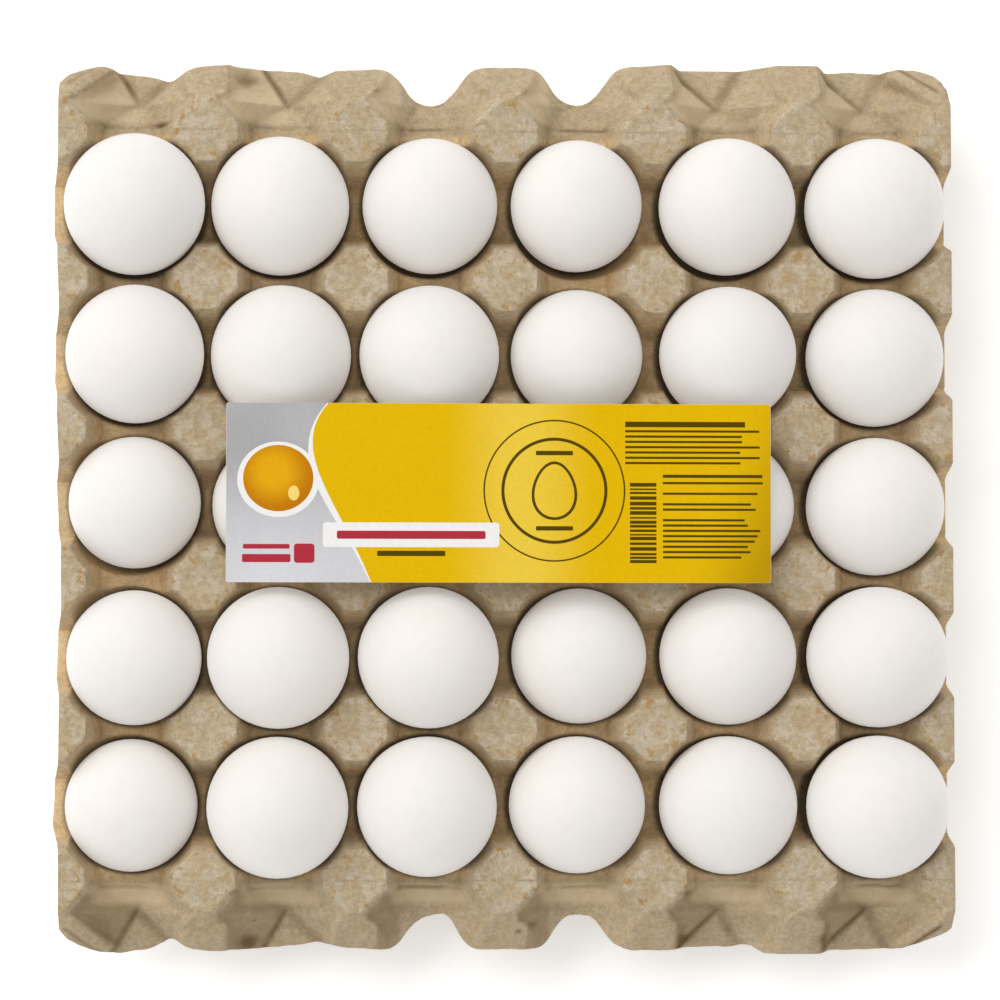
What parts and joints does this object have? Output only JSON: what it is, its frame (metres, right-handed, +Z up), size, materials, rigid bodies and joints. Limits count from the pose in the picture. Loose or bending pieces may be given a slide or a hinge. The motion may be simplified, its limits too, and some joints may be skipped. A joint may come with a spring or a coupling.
{
  "type": "tray of eggs",
  "caption": "Open moulded-pulp egg tray filled with white eggs in a square grid, with a plain printed card lying across the middle row.",
  "frame": {"origin": "centre of the tray on the surface it stands on, level with the undersides of the cups", "axes": "+X along the longer rows of eggs, to the right as the card is read; +Y across the rows, away from the viewer; +Z up"},
  "size_m": [0.2974, 0.2954, 0.0697],
  "materials": {
    "pulp": "rough moulded grey-beige paper pulp with fibres and flecks",
    "eggshell": "matt white eggshell with a faint pore texture",
    "card": "printed card, yellow and pale grey, soft gloss"
  },
  "bodies": {
    "root": {"pulp_tray": "pulp", "egg_r1_c1": "eggshell", "egg_r1_c2": "eggshell", "egg_r1_c3": "eggshell", "egg_r1_c4": "eggshell", "egg_r1_c5": "eggshell", "egg_r1_c6": "eggshell", "egg_r2_c1": "eggshell", "egg_r2_c2": "eggshell", "egg_r2_c3": "eggshell", "egg_r2_c4": "eggshell", "egg_r2_c5": "eggshell", "egg_r2_c6": "eggshell", "egg_r3_c1": "eggshell", "egg_r3_c2": "eggshell", "egg_r3_c3": "eggshell", "egg_r3_c4": "eggshell", "egg_r3_c5": "eggshell", "egg_r3_c6": "eggshell", "egg_r4_c1": "eggshell", "egg_r4_c2": "eggshell", "egg_r4_c3": "eggshell", "egg_r4_c4": "eggshell", "egg_r4_c5": "eggshell", "egg_r4_c6": "eggshell", "egg_r5_c1": "eggshell", "egg_r5_c2": "eggshell", "egg_r5_c3": "eggshell", "egg_r5_c4": "eggshell", "egg_r5_c5": "eggshell", "egg_r5_c6": "eggshell", "label_card": "card"}
  },
  "joints": []
}
